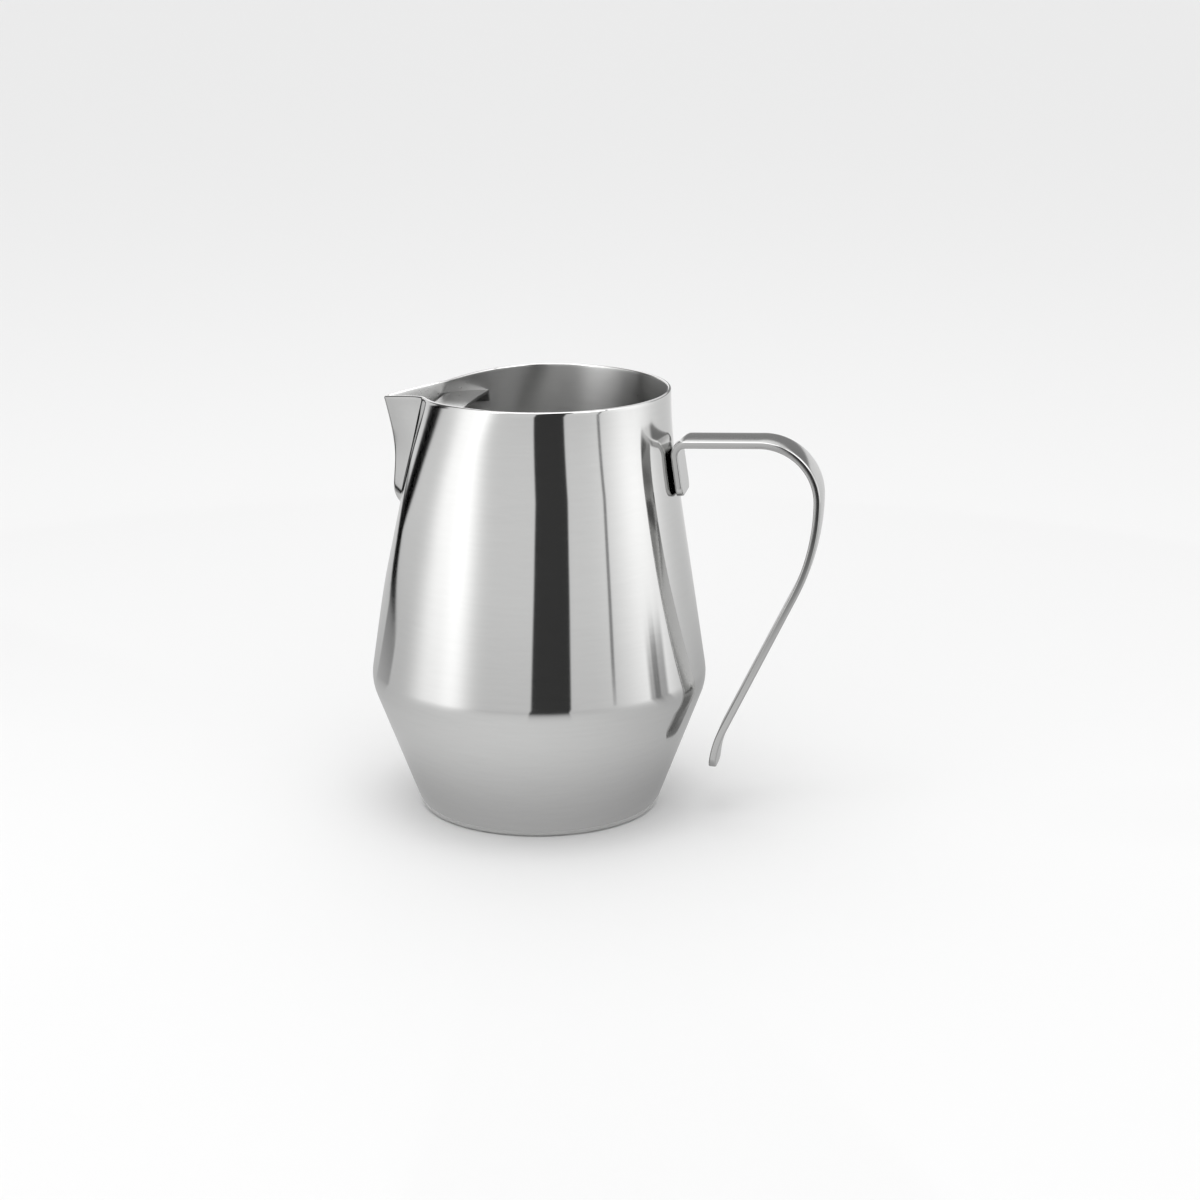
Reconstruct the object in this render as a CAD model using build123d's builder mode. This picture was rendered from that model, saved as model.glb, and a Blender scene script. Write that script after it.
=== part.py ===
from build123d import *
from math import cos, radians, sin, sqrt, tan
import os

# A milk frothing pitcher in stainless steel, in millimetres.
# +Z is up, the origin is on the body's axis at the table, the handle is along +X and the spout along -X.
# The jug is the same on both sides of the plane Y = 0.

# Body shell, pressed from one sheet
height = 114.5          # rim above the table
wall = 1.0              # sheet thickness
belly_radius = 45.0     # widest place
belly_height = 36.9     # widest place above the table
belly_bend = 13.6       # radius of the bend between the two cones
foot_slope = 20.9       # lower cone, degrees from upright
shoulder_slope = 8.46   # upper cone, degrees from upright
neck_height = 91.7      # where the upper cone starts to curve upright
foot_round = 1.5        # outside corner at the table

# Front of the body, pressed in on both sides of the beak to a slanting round form of its own
press_height = 68.7     # where the pressed front leaves the upper cone
press_slope = 13.2      # front line of the pressed part, degrees from upright
press_centre = 4.6      # its axis behind the body's axis at press_height
press_lean = 0.055      # how far that axis moves back for each millimetre of height
rim_dip_radius = 158.0  # side view of the rim over the front, a shallow arc
rim_dip_start = 7.2     # distance of its upper end in front of the axis

# Beak of the spout: level, reach of its keel, half angle of the V in degrees, radius of the keel
beak_sections = (
    (79.0, 34.0, 62.0, 6.0),
    (82.3, 37.6, 60.0, 6.0),
    (84.5, 39.0, 57.0, 5.5),
    (88.0, 39.3, 54.0, 5.0),
    (95.0, 38.95, 50.0, 4.0),
    (102.0, 39.7, 45.0, 3.0),
    (109.0, 41.4, 38.5, 2.2),
    (117.5, 43.4, 35.5, 2.0),
)
beak_root = 18.0        # back of the beak's wedge, inside the body

# Handle, one bent strap
strap_width = 12.8
strap_thickness = 2.1
strap_corner = 2.8      # rounding of the corners of its two ends
strap_edge = 0.6        # rounding along its edges
tab_bottom = 87.2       # lower end of the welded tab
tab_gap = 0.15          # standoff between tab and body, filled by the weld nuggets
tab_top = 98.0          # where the tab starts to bend
tab_bend = 2.0          # inside radius of the bend to the grip
grip_rise = 1.7         # slope of the grip's top run, degrees
grip_reach = 74.0       # inside of the loop at its widest
loop_bend = 14.1        # inside radius at the top of the loop
fall_bend = 58.0        # inside radius of the long curve below it
leg_slope = 25.9        # straight leg, degrees from upright
tail_bend = 27.0        # middle radius of the curl at the free end
tail_slope = 2.5        # free end, degrees from upright
tail_height = 12.9      # free end above the table

# Foam guard, a crescent plate across the mouth behind the spout
guard_thickness = 0.8
guard_edge = 20.2       # middle of its inner edge in front of the axis
guard_edge_radius = 250.0
guard_edge_bow = 4.0    # plate kept behind the middle of that edge, for its curved ends
guard_height = 108.1    # top of the plate at its inner edge
guard_tilt = 10.0       # rise towards the spout, degrees
guard_front = 27.8      # front edge, across the mouth of the beak
guard_gap = 0.15        # standoff from the wall, filled by the weld nuggets
flange_depth = 2.2      # turned-down edge along the wall

# Weld nuggets
handle_nugget_radius = 2.0
handle_nugget_levels = (90.2, 94.6)
guard_nugget_radius = 0.8
guard_nugget_angles = (-39.0, -27.0, 27.0, 39.0)
nugget_half_length = 0.6

# Construction height above the rim, and sizes worked out from the ones above
top = height + 3.0
shoulder = radians(shoulder_slope)
neck_bend = (height - neck_height) / sin(shoulder)
clear = 2 * belly_radius


def wall_radius(level):
    """Outside radius of the round body at a level above the belly."""
    bend_radius = belly_radius - belly_bend + belly_bend * cos(shoulder)
    bend_level = belly_height + belly_bend * sin(shoulder)
    cone = bend_radius - (min(level, neck_height) - bend_level) * tan(shoulder)
    if level <= neck_height:
        return cone
    rise = max(height - level, 0)
    return cone + neck_bend * cos(shoulder) - sqrt(neck_bend**2 - rise**2)


def press_circle(level):
    """Centre and radius of the slanting form at a level."""
    centre = press_centre + press_lean * (level - press_height)
    reach = wall_radius(press_height) - (level - press_height) * tan(radians(press_slope))
    return centre, reach + centre


def press_form(inset):
    """Everything inside the slanting form above press_height, and a wide disc below it."""
    with BuildPart() as form:
        for level in (press_height, top):
            centre, radius = press_circle(level)
            with BuildSketch(Plane.XY.offset(level)):
                with Locations((centre, 0)):
                    Circle(radius - inset)
        loft()
        with BuildSketch():
            Circle(clear)
        extrude(amount=press_height)
    return form.part


def round_form(inset):
    """Closed body without its beak, inset from the outside of the sheet."""
    with BuildPart() as form:
        with BuildSketch(Plane.XZ):
            with BuildLine():
                centre = (belly_radius - belly_bend, belly_height)
                bend = CenterArc(centre, belly_bend - inset, -foot_slope, foot_slope + shoulder_slope)
                foot_run = ((bend @ 0).Y - inset) * tan(radians(foot_slope))
                foot = Line(bend @ 0, ((bend @ 0).X - foot_run, inset))
                neck_start = (wall_radius(neck_height) - inset * cos(shoulder), neck_height - inset * sin(shoulder))
                cone = Line(bend @ 1, neck_start)
                neck = JernArc(neck_start, cone % 1, neck_bend + inset, -shoulder_slope)
                Polyline(neck @ 1, ((neck @ 1).X, top), (0, top), (0, inset), foot @ 1)
            make_face()
        revolve(axis=Axis.Z)
        add(press_form(inset), mode=Mode.INTERSECT)
    return form.part


def beak_form(inset):
    """Closed wedge of the beak, inset from the outside of the sheet."""
    with BuildPart() as form:
        for level, reach, half_angle, keel in beak_sections:
            with BuildSketch(Plane.XY.offset(level)):
                with BuildLine():
                    tip = CenterArc((keel - reach, 0), keel - inset, 90 + half_angle, 180 - 2 * half_angle)
                    half_width = (tip @ 0).Y - ((tip @ 0).X + beak_root) * tan(radians(half_angle))
                    Polyline(tip @ 0, (-beak_root, half_width), (-beak_root, -half_width), tip @ 1)
                make_face()
        loft()
    return form.part


def strap_path():
    """Middle line of the handle in the plane Y = 0, from the tab's lower end to the free end."""
    middle = strap_thickness / 2
    tab_offset = (tab_gap + middle) / cos(shoulder)
    tab_run = (tab_top - tab_bottom) * tan(shoulder)
    tab_start = wall_radius(neck_height) + (neck_height - tab_bottom) * tan(shoulder) + tab_offset
    rise = radians(grip_rise)
    loop_radius = loop_bend + middle
    tail_drop = tail_bend * (sin(radians(leg_slope)) - sin(radians(tail_slope)))
    with BuildLine(Plane.XZ) as path:
        tab = Line((tab_start, tab_bottom), (tab_start - tab_run, tab_top))
        elbow = JernArc(tab @ 1, tab % 1, tab_bend + middle, grip_rise - 90 - shoulder_slope)
        loop_start = grip_reach + middle - loop_radius * (1 + sin(rise))
        run = (loop_start - (elbow @ 1).X) / cos(rise)
        grip = PolarLine(elbow @ 1, run, grip_rise)
        loop = JernArc(grip @ 1, grip % 1, loop_radius, -90 - grip_rise)
        fall = JernArc(loop @ 1, loop % 1, fall_bend + middle, -leg_slope)
        leg_run = ((fall @ 1).Z - tail_height - tail_drop) / cos(radians(leg_slope))
        leg = PolarLine(fall @ 1, leg_run, -90 - leg_slope)
        JernArc(leg @ 1, leg % 1, tail_bend, leg_slope - tail_slope)
    return path.line


def guard_slab(high, low):
    """Tilted slab between two depths under the guard's top face, wider than the jug."""
    rise = tan(radians(guard_tilt))
    back = guard_edge - guard_edge_bow
    back_level = guard_height - guard_edge_bow * rise
    front_level = guard_height + (guard_front - guard_edge) * rise
    with BuildPart() as slab:
        with BuildSketch(Plane.XZ):
            with BuildLine():
                Polyline(
                    (-back, back_level - high),
                    (-guard_front, front_level - high),
                    (-guard_front, front_level - low),
                    (-back, back_level - low),
                    close=True,
                )
            make_face()
        extrude(amount=clear, both=True)
    return slab.part


def flange_place(angle):
    """Middle of the gap between the guard's flange and the wall, and the wall's outward direction."""
    turn = radians(angle)
    lean = radians(press_slope)
    centre, radius = press_circle(guard_height)
    x = centre - (radius - wall) * cos(turn)
    level = guard_height + (-x - guard_edge) * tan(radians(guard_tilt)) - guard_thickness - flange_depth / 2
    centre, radius = press_circle(level)
    reach = radius - wall - guard_gap / 2
    place = Vector(centre - reach * cos(turn), reach * sin(turn), level)
    return place, Vector(-cos(turn) * cos(lean), sin(turn) * cos(lean), sin(lean))


def nugget(place, direction, radius):
    """Round slug along a direction, centred on the gap between two sheets."""
    with BuildPart() as slug:
        with BuildSketch(Plane(origin=place, z_dir=direction)):
            Circle(radius)
        extrude(amount=nugget_half_length, both=True)
    return slug.part


os.makedirs("parts", exist_ok=True)

# Body shell with its spout
with BuildPart() as body_shell:
    add(round_form(0))
    add(beak_form(0))
    add(round_form(wall), mode=Mode.SUBTRACT)
    add(beak_form(wall), mode=Mode.SUBTRACT)
    with BuildSketch(Plane.XZ):
        with BuildLine():
            dip = CenterArc((-rim_dip_start, height - rim_dip_radius), rim_dip_radius, 90, 25)
            Polyline(dip @ 1, ((dip @ 1).X, clear + height), (clear, clear + height), (clear, height), dip @ 0)
        make_face()
    extrude(amount=clear, both=True, mode=Mode.SUBTRACT)
    fillet(body_shell.edges().group_by(Axis.Z)[0], foot_round)
body_shell.part.label = "body_shell"
export_step(body_shell.part, "parts/body_shell.step")

# Handle strap, swept along its middle line
strap_line = strap_path()
with BuildPart() as handle_strap:
    with BuildSketch(Plane(origin=strap_line @ 0, x_dir=(0, 1, 0), z_dir=strap_line % 0)):
        Rectangle(strap_width, strap_thickness)
    sweep(path=strap_line)
    for end in (strap_line @ 0, strap_line @ 1):
        short_edges = handle_strap.edges().filter_by(lambda edge: abs(edge.length - strap_thickness) < 0.01)
        fillet(short_edges.sort_by_distance(end)[:2], strap_corner)
    fillet(handle_strap.edges().filter_by(lambda edge: edge.length > strap_thickness + 0.01), strap_edge)
handle_strap.part.label = "handle_strap"
export_step(handle_strap.part, "parts/handle_strap.step")

# Foam guard, a tilted plate with an edge turned down along the wall
with BuildPart() as guard_hollow:
    add(guard_slab(guard_thickness, guard_thickness + 2 * flange_depth))
    add(round_form(wall + guard_gap + guard_thickness), mode=Mode.INTERSECT)
with BuildPart() as foam_guard:
    add(guard_slab(0, guard_thickness + flange_depth))
    add(round_form(wall + guard_gap), mode=Mode.INTERSECT)
    add(guard_hollow.part, mode=Mode.SUBTRACT)
    with BuildSketch():
        with Locations((guard_edge_radius - guard_edge, 0)):
            Circle(guard_edge_radius)
    extrude(amount=clear + height, mode=Mode.SUBTRACT)
foam_guard.part.label = "foam_guard"
export_step(foam_guard.part, "parts/foam_guard.step")

# Weld nuggets that hold the handle's tab on the body
outward = Vector(cos(shoulder), 0, sin(shoulder))
with BuildPart() as handle_welds:
    for level in handle_nugget_levels:
        add(nugget(Vector(wall_radius(level) + tab_gap / 2, 0, level), outward, handle_nugget_radius))
    add(body_shell.part, mode=Mode.SUBTRACT)
    add(handle_strap.part, mode=Mode.SUBTRACT)
handle_welds.part.label = "handle_welds"
export_step(handle_welds.part, "parts/handle_welds.step")

# Weld nuggets that hold the guard's flange on the wall
with BuildPart() as guard_welds:
    for angle in guard_nugget_angles:
        add(nugget(*flange_place(angle), guard_nugget_radius))
    add(body_shell.part, mode=Mode.SUBTRACT)
    add(foam_guard.part, mode=Mode.SUBTRACT)
guard_welds.part.label = "guard_welds"
export_step(guard_welds.part, "parts/guard_welds.step")
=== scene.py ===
import math

import bmesh
import bpy
import numpy as np
from mathutils import Matrix, Vector


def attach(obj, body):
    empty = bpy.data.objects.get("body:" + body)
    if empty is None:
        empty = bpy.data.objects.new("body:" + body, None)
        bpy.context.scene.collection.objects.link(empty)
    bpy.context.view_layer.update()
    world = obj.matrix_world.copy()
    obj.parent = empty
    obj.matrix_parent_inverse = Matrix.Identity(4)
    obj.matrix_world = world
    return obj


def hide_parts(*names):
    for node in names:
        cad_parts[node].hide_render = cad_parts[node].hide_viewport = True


# A polished steel milk frothing pitcher.
# Lengths are in millimetres until a mesh is made, and in metres after that.
# +Z is up, the spout is along -X, the handle along +X. Angles round the jug are measured from the spout.

MM = 0.001

# Body shell
HEIGHT = 114.5
WALL = 1.0
BELLY_RADIUS = 45.0
BELLY_HEIGHT = 36.9
BELLY_BEND = 13.6
FOOT_SLOPE = math.radians(20.9)
SHOULDER_SLOPE = math.radians(8.46)
NECK_HEIGHT = 91.7
FOOT_ROUND = 1.5

# Pressed front
PRESS_HEIGHT = 68.7
PRESS_SLOPE = math.radians(13.2)
PRESS_CENTRE = 4.6
PRESS_LEAN = 0.055
PRESS_SOFTNESS = 1.2       # rounding between the round body and its pressed front
PRESS_FADE_START = 46.0    # level where that rounding begins
PRESS_FADE_REACH = 30.0
RIM_DIP_RADIUS = 158.0
RIM_DIP_START = 7.2

# Beak: level, reach of the keel, half angle of the V in degrees, radius of the keel
BEAK = (
    (76.0, 29.5, 64.0, 6.5),
    (79.5, 34.4, 62.0, 6.0),
    (82.3, 37.7, 60.0, 6.0),
    (84.6, 39.1, 57.0, 5.5),
    (88.0, 39.35, 54.0, 5.0),
    (95.0, 38.95, 50.0, 4.0),
    (102.0, 39.75, 45.0, 3.0),
    (109.0, 41.35, 38.5, 2.2),
    (116.0, 43.1, 36.0, 2.0),
)
BEAK_START = 76.0
BEAK_FADE_REACH = 5.0
BEAK_SECTOR = math.radians(46.0)
CREASE_SOFTNESS = 0.25     # rounding of the crease between beak and body
CREASE_FLARE = 0.9         # further rounding of it at the rim
CREASE_FLARE_START = 98.0
CREASE_FLARE_REACH = 15.0

# Handle strap
STRAP_WIDTH = 12.8
STRAP_THICKNESS = 2.1
STRAP_CORNER = 2.8
STRAP_EDGE = 0.50
STRAP_CROWN = 0.22         # the outer face is lower at its sides than along its middle
TAB_BOTTOM = 87.2
TAB_GAP = 0.15
TAB_TOP = 98.0
TAB_BEND = 2.0
GRIP_RISE = math.radians(1.7)
GRIP_REACH = 74.0
LOOP_BEND = 14.1
FALL_BEND = 58.0
LEG_SLOPE = math.radians(25.9)
TAIL_BEND = 27.0
TAIL_SLOPE = math.radians(2.5)
TAIL_HEIGHT = 12.9

# Sizes worked out from the ones above
BELLY_CENTRE = BELLY_RADIUS - BELLY_BEND
FOOT_TOP = BELLY_HEIGHT - BELLY_BEND * math.sin(FOOT_SLOPE)
FOOT_TOP_RADIUS = BELLY_CENTRE + BELLY_BEND * math.cos(FOOT_SLOPE)
CONE_LEVEL = BELLY_HEIGHT + BELLY_BEND * math.sin(SHOULDER_SLOPE)
CONE_RADIUS = BELLY_CENTRE + BELLY_BEND * math.cos(SHOULDER_SLOPE)
NECK_BEND = (HEIGHT - NECK_HEIGHT) / math.sin(SHOULDER_SLOPE)
LIP_CENTRE = HEIGHT - WALL / 2

# Mesh density, and small steps used in working out the surfaces
BODY_COLUMNS = 380
FRONT_CROWDING = 0.8       # columns stand closer together at the spout than at the handle
BASE_RADII = (0.6, 3.0, 8.0, 14.0, 20.0, 25.0)
# Rows up the wall: upper level of each band, number of rows in it
ROW_BANDS = ((FOOT_TOP, 8), (39.6, 25), (66.0, 11), (78.0, 8), (90.0, 21), (LIP_CENTRE, 33))
RIM_FOLLOW_LEVEL = 84.0    # rows above this bend down with the rim's dip, more and more
RIM_FOLLOW_POWER = 1.5
FOOT_STEPS = 8
LIP_STEPS = 10
STRAP_STEPS = (22, 20, 30, 64, 40, 50, 30)    # one for each straight and bend, from the tab to the tail
STRAP_CORNER_STEPS = 10
STRAP_FACE_STEPS = 16
STRAP_END_STATIONS = (0.0, 0.04, 0.12, 0.25, 0.4)
STRAP_CORNER_START = 0.6
STRAP_CORNER_STATIONS = 12
STRAP_LEAST_STEP = 0.03    # stations nearer than this to the one before are left out
GRAIN_PER_MM = 0.01        # UV distance along the strap for each millimetre
LEAST_SOFTNESS = 1e-6      # keeps the blends smooth where they have no rounding
SMALL_RISE = 0.02          # steps that the slopes of the wall are measured over
SMALL_TURN = 0.0005
RIM_PASSES = 12            # the rim's level depends on how far forward the wall is there, and the reverse

# Steel
GRAIN_DETAIL = 4.0
GRAIN_ROUGHNESS = 0.65
GRAIN_DEPTH = 0.0002
PATCH_SCALE = 45.0
PATCH_DETAIL = 3.0
NOISE_LOW = 0.6            # usual range of the two noises added together
NOISE_HIGH = 1.4
DARK_TINT = 0.965
PALE_TINT = 1.03
BRUSHED_TURN = 0.25        # a quarter turn sets the highlight across the turning marks


def soft_step(value):
    value = np.clip(value, 0, 1)
    return value * value * (3 - 2 * value)


def spline(knots, values, at):
    """Natural cubic spline through knots, read at any levels."""
    knots = np.asarray(knots, float)
    values = np.asarray(values, float)
    step = np.diff(knots)
    slope = np.diff(values) / step
    count = len(knots)
    system = np.eye(count)
    right = np.zeros(count)
    for i in range(1, count - 1):
        system[i, i - 1] = step[i - 1]
        system[i, i] = 2 * (step[i - 1] + step[i])
        system[i, i + 1] = step[i]
        right[i] = 6 * (slope[i] - slope[i - 1])
    bend = np.linalg.solve(system, right)
    at = np.clip(at, knots[0], knots[-1])
    i = np.clip(np.searchsorted(knots, at) - 1, 0, count - 2)
    a = (knots[i + 1] - at) / step[i]
    b = 1 - a
    curve = ((a**3 - a) * bend[i] + (b**3 - b) * bend[i + 1]) * step[i] ** 2 / 6
    return a * values[i] + b * values[i + 1] + curve


def round_radius(z):
    """Outside radius of the round body at any level above the foot's rounding."""
    z = np.asarray(z, float)
    foot = FOOT_TOP_RADIUS - (FOOT_TOP - z) * math.tan(FOOT_SLOPE)
    belly = BELLY_CENTRE + np.sqrt(np.maximum(BELLY_BEND**2 - (z - BELLY_HEIGHT) ** 2, 0))
    cone = CONE_RADIUS - (np.minimum(z, NECK_HEIGHT) - CONE_LEVEL) * math.tan(SHOULDER_SLOPE)
    rise = np.maximum(HEIGHT - z, 0)
    neck = cone + NECK_BEND * math.cos(SHOULDER_SLOPE) - np.sqrt(NECK_BEND**2 - rise**2)
    above_foot = np.where(z < CONE_LEVEL, belly, np.where(z < NECK_HEIGHT, cone, neck))
    return np.where(z < FOOT_TOP, foot, above_foot)


def pressed_radius(angle, z):
    """Outside radius of the slanting form that the front is pressed to."""
    centre = PRESS_CENTRE + PRESS_LEAN * (z - PRESS_HEIGHT)
    reach = round_radius(PRESS_HEIGHT) - (z - PRESS_HEIGHT) * math.tan(PRESS_SLOPE) + centre
    return np.sqrt(reach**2 - (centre * np.sin(angle)) ** 2) - centre * np.cos(angle)


def beak_radius(turn, z):
    """Outside radius of the V-shaped beak at a turn away from its keel."""
    levels, reaches, half_angles, keels = zip(*BEAK)
    tip = spline(levels, reaches, z)
    half = np.radians(spline(levels, half_angles, z))
    keel = spline(levels, keels, z)
    along = tip - keel
    apex = along + keel / np.sin(half)
    flank = apex * np.sin(half) / np.sin(turn + half)
    touch = np.arctan2(keel * np.cos(half), along + keel * np.sin(half))
    nose = along * np.cos(turn) + np.sqrt(np.maximum(keel**2 - (along * np.sin(turn)) ** 2, 0))
    return np.where(turn < touch, nose, flank)


def outer_radius(angle, z):
    """Outside of the shell: the round body, its pressed front, and the beak."""
    body = round_radius(z)
    pressed = pressed_radius(angle, z)
    soft = PRESS_SOFTNESS * soft_step((z - PRESS_FADE_START) / PRESS_FADE_REACH) + LEAST_SOFTNESS
    body = 0.5 * (body + pressed - np.sqrt((body - pressed) ** 2 + soft**2))
    turn = np.abs(angle)
    facing = turn < BEAK_SECTOR
    beak = beak_radius(np.where(facing, turn, 0.0), z)
    fade = np.clip((z - BEAK_START) / BEAK_FADE_REACH, 0, 1)
    fade = fade * np.clip((BEAK_SECTOR - turn) / (BEAK_SECTOR / 3), 0, 1)
    flare = CREASE_FLARE * np.clip((z - CREASE_FLARE_START) / CREASE_FLARE_REACH, 0, 1) ** 2
    soft = (CREASE_SOFTNESS + flare) * soft_step(fade) + LEAST_SOFTNESS
    joined = 0.5 * (body + beak + np.sqrt((body - beak) ** 2 + soft**2))
    return np.where(facing & (z > BEAK_START), joined, body)


def place(angle, radius, z):
    return np.stack([-radius * np.cos(angle), radius * np.sin(angle), z + 0 * radius], axis=-1)


def outer(angle, z):
    """Points on the outside, their outward unit normals, and the unit direction up the wall."""
    def point(angle, z):
        return place(angle, outer_radius(angle, z), z)

    up = point(angle, z + SMALL_RISE) - point(angle, z - SMALL_RISE)
    side = point(angle + SMALL_TURN, z) - point(angle - SMALL_TURN, z)
    normal = np.cross(up, side)
    normal /= np.linalg.norm(normal, axis=-1, keepdims=True)
    up /= np.linalg.norm(up, axis=-1, keepdims=True)
    return point(angle, z), normal, up


def rim_level(angle):
    """Level of the lip's centre round the jug: flat, with a shallow dip over the front."""
    level = np.full_like(angle, LIP_CENTRE)
    for _ in range(RIM_PASSES):
        ahead = np.maximum(outer_radius(angle, level) * np.cos(angle) - RIM_DIP_START, 0)
        level = LIP_CENTRE - (RIM_DIP_RADIUS - np.sqrt(RIM_DIP_RADIUS**2 - ahead**2))
    return level


def make_object(name, points, faces, materials, face_slots=None):
    mesh = bpy.data.meshes.new(name)
    mesh.from_pydata((np.asarray(points) * MM).tolist(), [], faces)
    mesh.validate()
    for material in materials:
        mesh.materials.append(material)
    if face_slots is not None:
        mesh.polygons.foreach_set("material_index", face_slots)
    tidy = bmesh.new()
    tidy.from_mesh(mesh)
    bmesh.ops.recalc_face_normals(tidy, faces=tidy.faces)
    tidy.to_mesh(mesh)
    tidy.free()
    mesh.polygons.foreach_set("use_smooth", [True] * len(mesh.polygons))
    mesh.update()
    made = bpy.data.objects.new(name, mesh)
    bpy.context.scene.collection.objects.link(made)
    return made


def ring_faces(rows, columns):
    """Quads between rows of points, each of which closes on itself."""
    faces = []
    for i in range(rows - 1):
        a = i * columns
        b = a + columns
        for j in range(columns):
            k = (j + 1) % columns
            faces.append((a + j, a + k, b + k, b + j))
    return faces


def base_rows(angle):
    """Rows of the flat base and of the rounding between it and the lower cone, with their normals."""
    columns = len(angle)
    base_radius = FOOT_TOP_RADIUS - FOOT_TOP * math.tan(FOOT_SLOPE)
    centre = base_radius + (FOOT_ROUND * math.sin(FOOT_SLOPE) - FOOT_ROUND) / math.cos(FOOT_SLOPE)
    points = []
    normals = []
    for radius in (*BASE_RADII, centre - 1.5, centre):
        points.append(place(angle, np.full(columns, radius), 0.0))
        normals.append(np.tile((0.0, 0.0, -1.0), (columns, 1)))
    for k in range(1, FOOT_STEPS):
        lean = -math.pi / 2 + (math.pi / 2 - FOOT_SLOPE) * k / FOOT_STEPS
        radius = np.full(columns, centre + FOOT_ROUND * math.cos(lean))
        points.append(place(angle, radius, FOOT_ROUND + FOOT_ROUND * math.sin(lean)))
        normals.append(place(angle, np.full(columns, math.cos(lean)), math.sin(lean)))
    return points, normals


def wall_levels():
    levels = []
    lower = FOOT_ROUND - FOOT_ROUND * math.sin(FOOT_SLOPE)
    for upper, rows in ROW_BANDS:
        levels += list(np.linspace(lower, upper, rows + 1)[:-1])
        lower = upper
    return levels + [LIP_CENTRE]


def build_body(polished, satin):
    """The shell: base and outside, the half-round lip, then the inside back down to its floor."""
    columns = BODY_COLUMNS
    spread = np.arange(columns) / columns * 2 * math.pi
    angle = spread - FRONT_CROWDING * np.sin(spread)
    angle = np.where(angle > math.pi, angle - 2 * math.pi, angle)
    top = rim_level(angle)

    outside, normals = base_rows(angle)
    for level in wall_levels():
        share = max(level - RIM_FOLLOW_LEVEL, 0.0) / (LIP_CENTRE - RIM_FOLLOW_LEVEL)
        z = level + (top - LIP_CENTRE) * share**RIM_FOLLOW_POWER
        points, normal, up = outer(angle, z)
        outside.append(points)
        normals.append(normal)
    outside = np.array(outside)
    normals = np.array(normals)
    inside = outside - WALL * normals

    lip = []
    middle = (outside[-1] + inside[-1]) / 2
    for k in range(1, LIP_STEPS):
        turn = math.pi * k / LIP_STEPS
        lip.append(middle + WALL / 2 * (math.cos(turn) * normals[-1] + math.sin(turn) * up))

    rows = np.concatenate([outside, np.array(lip), inside[::-1]])
    count = len(rows)
    faces = ring_faces(count, columns)
    polished_rows = len(outside) + len(lip) - 1
    slots = [0] * (polished_rows * columns) + [1] * ((count - 1 - polished_rows) * columns)
    bottom = count * columns
    last = (count - 1) * columns
    points = np.vstack([rows.reshape(-1, 3), [(0, 0, 0), (0, 0, WALL)]])
    for j in range(columns):
        k = (j + 1) % columns
        faces.append((bottom, k, j))
        faces.append((bottom + 1, last + j, last + k))
        slots += [0, 1]
    return make_object("body", points, faces, [polished, satin], slots)


def strap_line():
    """Middle line of the strap as (x, z, heading, distance), from the tab's lower end to the free end."""
    middle = STRAP_THICKNESS / 2
    x = CONE_RADIUS - (TAB_BOTTOM - CONE_LEVEL) * math.tan(SHOULDER_SLOPE)
    x += (TAB_GAP + middle) / math.cos(SHOULDER_SLOPE)
    z = TAB_BOTTOM
    heading = math.pi / 2 + SHOULDER_SLOPE
    tab = (TAB_TOP - TAB_BOTTOM) / math.cos(SHOULDER_SLOPE)
    elbow_turn = math.pi / 2 + SHOULDER_SLOPE - GRIP_RISE
    loop_turn = math.pi / 2 + GRIP_RISE
    elbow = TAB_BEND + middle
    loop = LOOP_BEND + middle
    fall = FALL_BEND + middle
    elbow_end = x + tab * math.cos(heading) + elbow * (math.sin(heading) - math.sin(GRIP_RISE))
    loop_start = GRIP_REACH + middle - loop * (1 + math.sin(GRIP_RISE))
    grip = (loop_start - elbow_end) / math.cos(GRIP_RISE)
    leg_top = TAB_BOTTOM + tab * math.sin(heading) + elbow * (math.cos(GRIP_RISE) - math.cos(heading))
    leg_top += grip * math.sin(GRIP_RISE) - loop * math.cos(GRIP_RISE) - fall * math.sin(LEG_SLOPE)
    tail_turn = LEG_SLOPE - TAIL_SLOPE
    tail_drop = TAIL_BEND * (math.sin(LEG_SLOPE) - math.sin(TAIL_SLOPE))
    leg = (leg_top - TAIL_HEIGHT - tail_drop) / math.cos(LEG_SLOPE)
    pieces = (
        (tab, 0.0),
        (elbow * elbow_turn, -elbow_turn),
        (grip, 0.0),
        (loop * loop_turn, -loop_turn),
        (fall * LEG_SLOPE, -LEG_SLOPE),
        (leg, 0.0),
        (TAIL_BEND * tail_turn, tail_turn),
    )
    stations = []
    distance = 0.0
    for (length, turn), steps in zip(pieces, STRAP_STEPS):
        step = length / steps
        change = turn / steps
        chord = step if change == 0 else step * math.sin(change / 2) / (change / 2)
        for _ in range(steps):
            stations.append((x, z, heading, distance))
            x += chord * math.cos(heading + change / 2)
            z += chord * math.sin(heading + change / 2)
            heading += change
            distance += step
    stations.append((x, z, heading, distance))
    return np.array(stations)


def round_in(radius, to_end):
    """How far a rounding of this radius has drawn a side in, this near to an end."""
    return radius - math.sqrt(radius**2 - (radius - to_end) ** 2) if to_end < radius else 0.0


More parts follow.
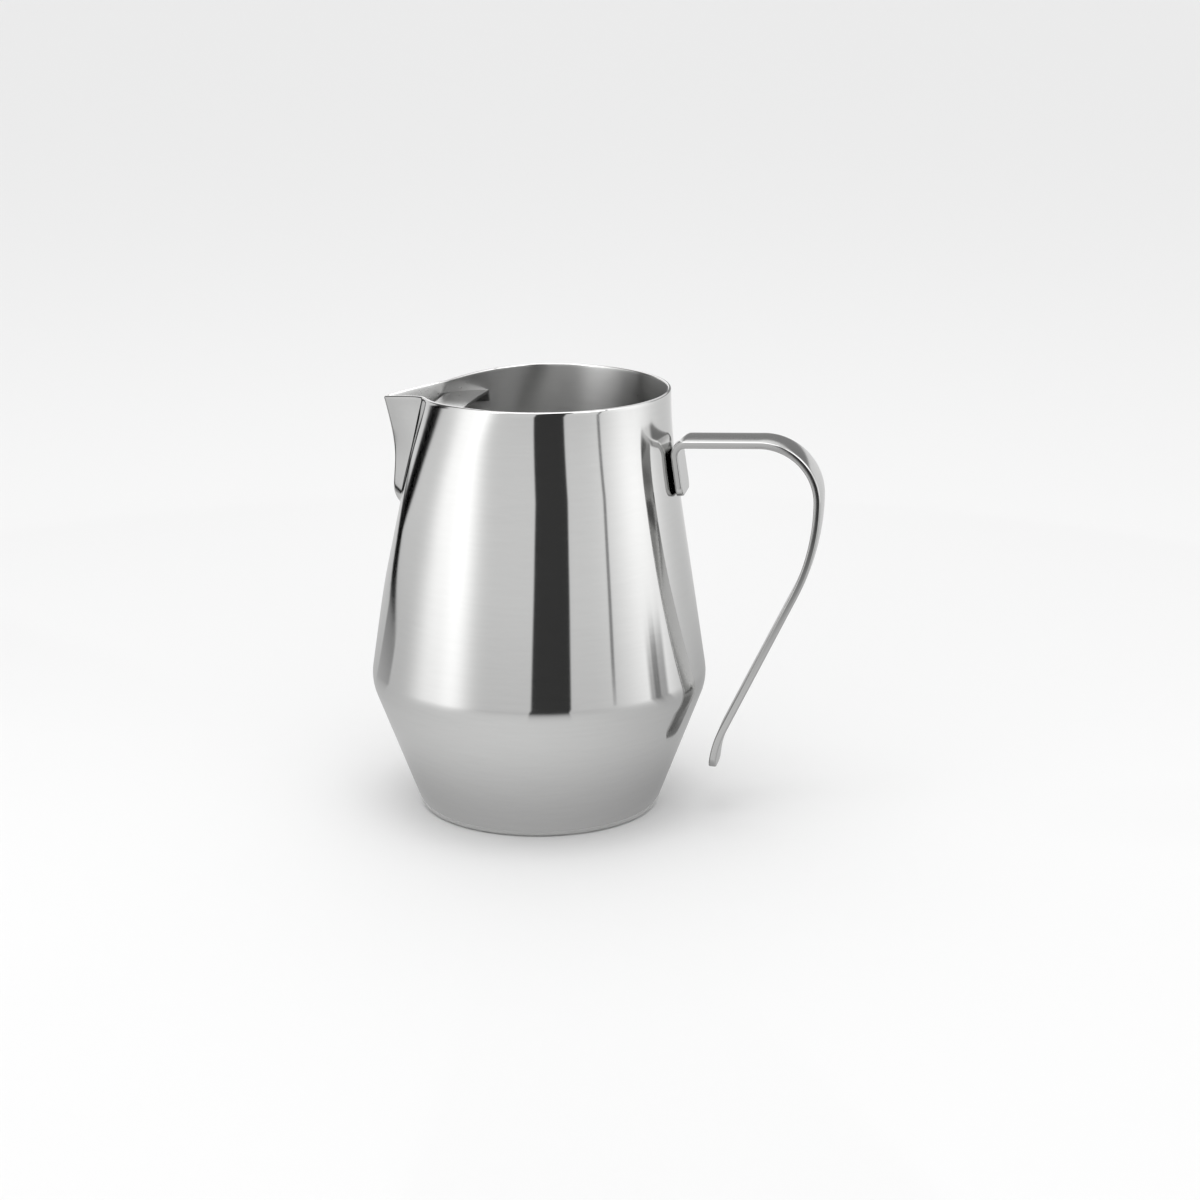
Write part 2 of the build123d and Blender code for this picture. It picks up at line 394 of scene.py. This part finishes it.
def strap_section(to_end):
    """Cross-section of the strap as (sideways, outwards), rounded at its corners and crowned outside."""
    shrink = round_in(STRAP_EDGE, to_end)
    half_width = STRAP_WIDTH / 2 - round_in(STRAP_CORNER, to_end) - shrink
    half_thick = STRAP_THICKNESS / 2 - shrink
    section = []
    for corner, (side, out) in enumerate(((1, 1), (-1, 1), (-1, -1), (1, -1))):
        flat = side * (half_width - STRAP_EDGE)
        for k in range(STRAP_CORNER_STEPS + 1):
            turn = math.pi / 2 * (corner + k / STRAP_CORNER_STEPS)
            level = out * (half_thick - STRAP_EDGE) + STRAP_EDGE * math.sin(turn)
            section.append((flat + STRAP_EDGE * math.cos(turn), level))
        if corner in (0, 2):
            for k in range(1, STRAP_FACE_STEPS):
                section.append((flat * (1 - 2 * k / STRAP_FACE_STEPS), out * half_thick))
    crowned = []
    for y, level in section:
        share = (level + half_thick) / (2 * half_thick)
        crowned.append((y, level - STRAP_CROWN * share * (y / (STRAP_WIDTH / 2)) ** 2))
    return crowned


def build_strap(material):
    line = strap_line()
    total = line[-1, 3]
    corner = np.linspace(STRAP_CORNER_START, STRAP_CORNER, STRAP_CORNER_STATIONS)
    near_end = np.concatenate([STRAP_END_STATIONS, corner])
    distances = np.unique(np.concatenate([near_end, line[:, 3], total - near_end]).round(5))
    distances = distances[np.concatenate([[True], np.diff(distances) > STRAP_LEAST_STEP])]
    if distances[-1] < total:
        distances[-1] = total
    xs, zs, headings = (np.interp(distances, line[:, 3], line[:, k]) for k in range(3))
    rows = []
    for x, z, heading, distance in zip(xs, zs, headings, distances):
        out_x, out_z = -math.sin(heading), math.cos(heading)
        section = strap_section(max(min(distance, total - distance), 0.0))
        rows.append([(x + level * out_x, y, z + level * out_z) for y, level in section])
    rows = np.array(rows)
    count, columns = rows.shape[:2]
    faces = ring_faces(count, columns)
    faces.append(tuple(range(columns)))
    faces.append(tuple(range((count - 1) * columns, count * columns)))
    made = make_object("handle", rows.reshape(-1, 3), faces, [material])
    along = np.repeat(distances, columns) * GRAIN_PER_MM
    round_it = np.tile(np.arange(columns) / columns, count)
    layer = made.data.uv_layers.new(name="UVMap")
    corners = np.zeros(len(made.data.loops), int)
    made.data.loops.foreach_get("vertex_index", corners)
    layer.data.foreach_set("uv", np.stack([along[corners], round_it[corners]], axis=-1).ravel())
    return made


def new_material(name):
    material = bpy.data.materials.new(name)
    material.use_nodes = True
    return material, material.node_tree.nodes, material.node_tree.links


def add_node(nodes, links, kind, wires=(), **values):
    """New node with the given properties, and wires as (input, source socket or number)."""
    node = nodes.new("ShaderNode" + kind)
    for key, value in values.items():
        setattr(node, key, value)
    for socket, source in wires:
        if isinstance(source, (int, float, tuple)):
            node.inputs[socket].default_value = source
        else:
            links.new(source, node.inputs[socket])
    return node


def turned_vector(nodes, links, position, ring):
    """Texture place for turning marks: slow round the jug, fast up it and across it."""
    split = add_node(nodes, links, "SeparateXYZ", [("Vector", position)])
    around = add_node(nodes, links, "Math", [(0, split.outputs["Y"]), (1, split.outputs["X"])],
                      operation="ARCTAN2")
    mirrored = add_node(nodes, links, "Math", [(0, around.outputs["Value"])], operation="ABSOLUTE")
    flat = add_node(nodes, links, "CombineXYZ",
                    [("X", split.outputs["X"]), ("Y", split.outputs["Y"])])
    out = add_node(nodes, links, "VectorMath", [(0, flat.outputs["Vector"])], operation="LENGTH")
    place_at = nodes.new("ShaderNodeCombineXYZ")
    sources = (mirrored.outputs["Value"], split.outputs["Z"], out.outputs["Value"])
    for axis, source, scale in zip("XYZ", sources, (ring[0], ring[1], ring[1])):
        scaled = add_node(nodes, links, "Math", [(0, source), (1, scale)], operation="MULTIPLY")
        links.new(scaled.outputs["Value"], place_at.inputs[axis])
    return place_at.outputs["Vector"]


def steel(name, colour, roughness, anisotropy=0.0, turned=False, ring=(4.0, 900.0), patches=0.02,
          scratch=0.02):
    """Stainless steel. ring scales a fine grain: slow along it, fast across it.

    patches is how far the roughness wanders, scratch the strength of the grain's bump.
    """
    material, nodes, links = new_material(name)
    shader = nodes["Principled BSDF"]
    shader.inputs["Metallic"].default_value = 1.0
    shader.inputs["Anisotropic"].default_value = anisotropy
    shader.inputs["Anisotropic Rotation"].default_value = BRUSHED_TURN if turned else 0.0
    where = nodes.new("ShaderNodeTexCoord")
    if turned:
        vector = turned_vector(nodes, links, where.outputs["Object"], ring)
        tangent = add_node(nodes, links, "Tangent", direction_type="RADIAL", axis="Z")
        links.new(tangent.outputs["Tangent"], shader.inputs["Tangent"])
    else:
        vector = add_node(nodes, links, "Mapping",
                          [("Vector", where.outputs["UV"]), ("Scale", (*ring, 1.0))]).outputs["Vector"]
    grain = add_node(nodes, links, "TexNoise",
                     [("Vector", vector), ("Scale", 1.0), ("Detail", GRAIN_DETAIL),
                      ("Roughness", GRAIN_ROUGHNESS)])
    patch = add_node(nodes, links, "TexNoise",
                     [("Vector", where.outputs["Object"]), ("Scale", PATCH_SCALE),
                      ("Detail", PATCH_DETAIL)])
    both = add_node(nodes, links, "Math", [(0, grain.outputs["Fac"]), (1, patch.outputs["Fac"])],
                    operation="ADD")
    rough = add_node(nodes, links, "MapRange",
                     [("Value", both.outputs["Value"]), ("From Min", NOISE_LOW), ("From Max", NOISE_HIGH),
                      ("To Min", roughness - patches), ("To Max", roughness + patches)])
    links.new(rough.outputs["Result"], shader.inputs["Roughness"])
    tint = add_node(nodes, links, "Mix", data_type="RGBA")
    tint.inputs["A"].default_value = (*[c * DARK_TINT for c in colour], 1)
    tint.inputs["B"].default_value = (*[c * PALE_TINT for c in colour], 1)
    links.new(grain.outputs["Fac"], tint.inputs["Factor"])
    links.new(tint.outputs["Result"], shader.inputs["Base Color"])
    bump = add_node(nodes, links, "Bump",
                    [("Height", grain.outputs["Fac"]), ("Strength", scratch),
                     ("Distance", GRAIN_DEPTH)])
    links.new(bump.outputs["Normal"], shader.inputs["Normal"])
    return material


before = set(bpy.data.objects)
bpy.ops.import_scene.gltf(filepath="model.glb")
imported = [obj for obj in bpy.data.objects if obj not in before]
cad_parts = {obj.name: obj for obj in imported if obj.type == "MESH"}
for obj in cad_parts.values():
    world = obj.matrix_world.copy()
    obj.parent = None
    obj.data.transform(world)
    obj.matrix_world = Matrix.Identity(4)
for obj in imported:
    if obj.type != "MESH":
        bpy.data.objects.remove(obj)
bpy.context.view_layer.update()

polished_steel = steel("polished_steel", (0.63, 0.63, 0.625), 0.07, 1.0, turned=True,
                       patches=0.01, scratch=0.01)
satin_steel = steel("satin_steel", (0.60, 0.60, 0.595), 0.30, 0.94, turned=True,
                    ring=(5.0, 1600.0), patches=0.04, scratch=0.05)
strap_steel = steel("strap_steel", (0.54, 0.54, 0.535), 0.10,
                    ring=(3.0, 160.0), patches=0.03, scratch=0.02)
guard_steel = steel("guard_steel", (0.62, 0.62, 0.615), 0.15, turned=True,
                    patches=0.03, scratch=0.02)
weld_steel = steel("weld_steel", (0.5, 0.5, 0.49), 0.45, turned=True,
                   ring=(20.0, 700.0), patches=0.08, scratch=0.3)

body = build_body(polished_steel, satin_steel)
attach(body, "root")
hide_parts("body_shell")

strap = build_strap(strap_steel)
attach(strap, "root")
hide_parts("handle_strap")

kept_nodes = (("foam_guard", guard_steel), ("handle_welds", weld_steel), ("guard_welds", weld_steel))
for node, material in kept_nodes:
    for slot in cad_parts[node].material_slots:
        slot.material = material

# Camera, at the photograph's viewing angle
CAMERA_AZIMUTH = math.radians(11.0)
CAMERA_DISTANCE = 731.5
CAMERA_HEIGHT = 256.0
CAMERA_PITCH = math.radians(15.29)
CAMERA_YAW = math.radians(1.286)
CAMERA_LENS = 84.46
CAMERA_SENSOR = 36.0

turn = Matrix.Rotation(CAMERA_AZIMUTH, 3, "Z")
look = turn @ Vector((
    math.sin(CAMERA_YAW) * math.cos(CAMERA_PITCH),
    math.cos(CAMERA_YAW) * math.cos(CAMERA_PITCH),
    -math.sin(CAMERA_PITCH),
))
camera_data = bpy.data.cameras.new("camera")
camera_data.lens = CAMERA_LENS
camera_data.sensor_width = CAMERA_SENSOR
camera = bpy.data.objects.new("camera", camera_data)
camera.location = turn @ Vector((0, -CAMERA_DISTANCE * MM, CAMERA_HEIGHT * MM))
camera.rotation_euler = look.to_track_quat("-Z", "Y").to_euler()
bpy.context.scene.collection.objects.link(camera)
bpy.context.scene.camera = camera


# Studio: a ring of soft light and dark flags round the jug, and a glow over the floor inside it,
# that only glossy surfaces see. Directions are in degrees to the right of the camera's, the rest in metres.
RING_RADIUS = 0.37
RING_HEIGHT = 0.75
RING_BOTTOM = 0.001
RING_FINE_HEIGHT = 0.3     # rows stand closer together below this
RING_FINE_ROWS = 100
RING_COARSE_ROWS = 30
RING_LEVEL = 0.86
RING_COLUMNS = 1080
# Soft lights: direction, half width, added strength, level where they start
RING_LIGHTS = (
    (-78.0, 15.0, 0.60, -1.0),
    (-58.0, 12.0, 0.75, -1.0),
    (-56.0, 12.0, 3.00, 0.20),
    (50.0, 20.0, 2.00, 0.20),
    (82.0, 25.0, 0.65, -1.0),
    (178.0, 15.0, 0.30, -1.0),
    (190.0, 35.0, 0.35, 0.16),
)
LIGHT_START_REACH = 0.05
# Dark flags: direction, half width, softness of the edge, strength left, lowest and highest level,
# slant in degrees for each metre of height
RING_FLAGS = (
    (8.9, 12.5, 0.8, 0.05, -1.0, 0.60, 36.0),
    (51.2, 1.2, 0.7, 0.30, 0.02, 2.0, 50.0),
    (-128.0, 6.5, 1.5, 0.0, 0.02, 0.16, 280.0),
    (-177.0, 10.0, 1.5, 0.0, -0.010, 0.050, -600.0),
    (84.0, 8.0, 2.0, 0.60, -1.0, 0.040, 0.0),
    (82.5, 2.5, 1.0, 0.30, -1.0, 0.042, 0.0),
    (-122.0, 16.0, 5.0, 0.10, 0.130, 0.70, 0.0),
    (142.0, 36.0, 3.0, 0.28, 0.120, 0.23, 0.0),
)
FLAG_LEVEL = 0.086         # where a slanting flag stands in the direction given
FLAG_END_REACH = 0.02
RING_FALL = 0.20           # share of the strength lost towards the floor
RING_FALL_LEVEL = 0.08
FADE_RADIUS = 0.09         # the ring's light goes on over the floor and fades into a plain glow here
FLOOR_GLOW = 0.86
FLOOR_GLOW_DROP = 0.20     # less glow opposite the direction below
FLOOR_GLOW_AZIMUTH = -20.0
FLOOR_GLOW_LEVEL = 0.0005
FLOOR_GLOW_ROWS = 49
FOOT_RADIUS = 0.033
FOOT_SHADE = 0.62          # share of the glow left beside the foot
FOOT_SHADE_REACH = 0.030


def ring_strength(azimuth, level):
    strength = np.full_like(azimuth, RING_LEVEL)
    for centre, half, added, start in RING_LIGHTS:
        apart = (azimuth - centre + 180) % 360 - 180
        rise = soft_step((level - start) / LIGHT_START_REACH)
        strength += added * np.exp(-((apart / half) ** 2)) * rise
    for centre, half, soft, left, lowest, highest, slant in RING_FLAGS:
        centre = centre + slant * (level - FLAG_LEVEL)
        apart = np.abs((azimuth - centre + 180) % 360 - 180)
        dark = 1 - soft_step((apart - half + soft) / (2 * soft))
        dark *= soft_step((level - lowest) / FLAG_END_REACH)
        dark *= soft_step((highest - level) / FLAG_END_REACH)
        strength += (left - strength) * dark
    return strength * (1 - RING_FALL * (1 - np.clip(level / RING_FALL_LEVEL, 0, 1)))


def floor_strength(azimuth, radius):
    glow = FLOOR_GLOW - FLOOR_GLOW_DROP * (1 - np.cos(np.radians(azimuth - FLOOR_GLOW_AZIMUTH)))
    return glow * (FOOT_SHADE + (1 - FOOT_SHADE) * soft_step((radius - FOOT_RADIUS) / FOOT_SHADE_REACH))


def build_ring():
    """Open cylinder standing on a flat collar, with the strength of its light stored at each point."""
    material, nodes, links = new_material("ring_light")
    nodes.remove(nodes["Principled BSDF"])
    stored = add_node(nodes, links, "Attribute", attribute_name="glow")
    emission = add_node(nodes, links, "Emission", [("Strength", stored.outputs["Fac"])])
    links.new(emission.outputs["Emission"], nodes["Material Output"].inputs["Surface"])
    upright = np.concatenate([
        np.linspace(RING_BOTTOM, RING_FINE_HEIGHT, RING_FINE_ROWS),
        np.linspace(RING_FINE_HEIGHT, RING_HEIGHT, RING_COARSE_ROWS + 1)[1:],
    ])
    collar = np.geomspace(FOOT_RADIUS, RING_RADIUS, FLOOR_GLOW_ROWS + 1)[:-1]
    radii = np.concatenate([collar, np.full(len(upright), RING_RADIUS)])
    levels = np.concatenate([np.full(len(collar), FLOOR_GLOW_LEVEL), upright])
    azimuth, level = np.meshgrid(np.arange(RING_COLUMNS) * 360.0 / RING_COLUMNS - 180.0, levels)
    radius = np.broadcast_to(radii[:, None], level.shape)
    heading = CAMERA_AZIMUTH + np.radians(azimuth)
    points = np.stack([np.sin(heading) * radius, -np.cos(heading) * radius, level], axis=-1)
    fade = soft_step((RING_RADIUS - radius) / (RING_RADIUS - FADE_RADIUS))
    strength = ring_strength(azimuth, level) * (1 - fade) + floor_strength(azimuth, radius) * fade
    mesh = bpy.data.meshes.new("ring_light")
    mesh.from_pydata(points.reshape(-1, 3).tolist(), [], ring_faces(len(levels), RING_COLUMNS))
    mesh.materials.append(material)
    attribute = mesh.attributes.new("glow", "FLOAT", "POINT")
    attribute.data.foreach_set("value", strength.ravel().astype(np.float32))
    ring = bpy.data.objects.new("ring_light", mesh)
    bpy.context.scene.collection.objects.link(ring)
    ring.visible_camera = False
    ring.visible_diffuse = False
    ring.visible_shadow = False
    ring.visible_transmission = False
    ring.visible_volume_scatter = False


build_ring()

FLOOR_REACH = 6.0
FLOOR_COLOUR = (0.82, 0.82, 0.82, 1)
FLOOR_ROUGHNESS = 0.7
floor_material, nodes, links = new_material("floor")
nodes["Principled BSDF"].inputs["Base Color"].default_value = FLOOR_COLOUR
nodes["Principled BSDF"].inputs["Roughness"].default_value = FLOOR_ROUGHNESS
floor_mesh = bpy.data.meshes.new("floor")
floor_corners = [(x * FLOOR_REACH, y * FLOOR_REACH, 0) for x, y in ((-1, -1), (1, -1), (1, 1), (-1, 1))]
floor_mesh.from_pydata(floor_corners, [], [(0, 1, 2, 3)])
floor_mesh.materials.append(floor_material)
floor = bpy.data.objects.new("floor", floor_mesh)
bpy.context.scene.collection.objects.link(floor)

# Room light, darker to the left and right: ROOM_LIGHT - ROOM_DROP * (sideways part of the direction) ** 2
ROOM_LIGHT = 1.18
ROOM_DROP = 0.8
world = bpy.data.worlds.new("world")
bpy.context.scene.world = world
world.use_nodes = True
nodes, links = world.node_tree.nodes, world.node_tree.links
nodes["Background"].inputs["Color"].default_value = (1, 1, 1, 1)
sky = nodes.new("ShaderNodeTexCoord")
camera_right = (math.cos(CAMERA_AZIMUTH), math.sin(CAMERA_AZIMUTH), 0)
sideways = add_node(nodes, links, "VectorMath", [(0, sky.outputs["Generated"]), (1, camera_right)],
                    operation="DOT_PRODUCT")
distance = add_node(nodes, links, "Math", [(0, sideways.outputs["Value"])], operation="ABSOLUTE")
square = add_node(nodes, links, "Math", [(0, distance.outputs["Value"]), (1, 2.0)], operation="POWER")
room = add_node(nodes, links, "Math",
                [(0, square.outputs["Value"]), (1, -ROOM_DROP), (2, ROOM_LIGHT)],
                operation="MULTIPLY_ADD")
links.new(room.outputs["Value"], nodes["Background"].inputs["Strength"])

# Large soft light overhead
KEY_SIZE = 0.7
KEY_ENERGY = 2.5
KEY_PLACE = (0.0, -0.15, 1.05)
KEY_TARGET = (0.0, 0.0, 0.05)
key_data = bpy.data.lights.new("key", "AREA")
key_data.shape = "RECTANGLE"
key_data.size = KEY_SIZE
key_data.size_y = KEY_SIZE
key_data.energy = KEY_ENERGY
key = bpy.data.objects.new("key", key_data)
key.location = KEY_PLACE
key.rotation_euler = (Vector(KEY_TARGET) - Vector(KEY_PLACE)).to_track_quat("-Z", "Y").to_euler()
bpy.context.scene.collection.objects.link(key)

bpy.context.scene.view_settings.view_transform = "Standard"
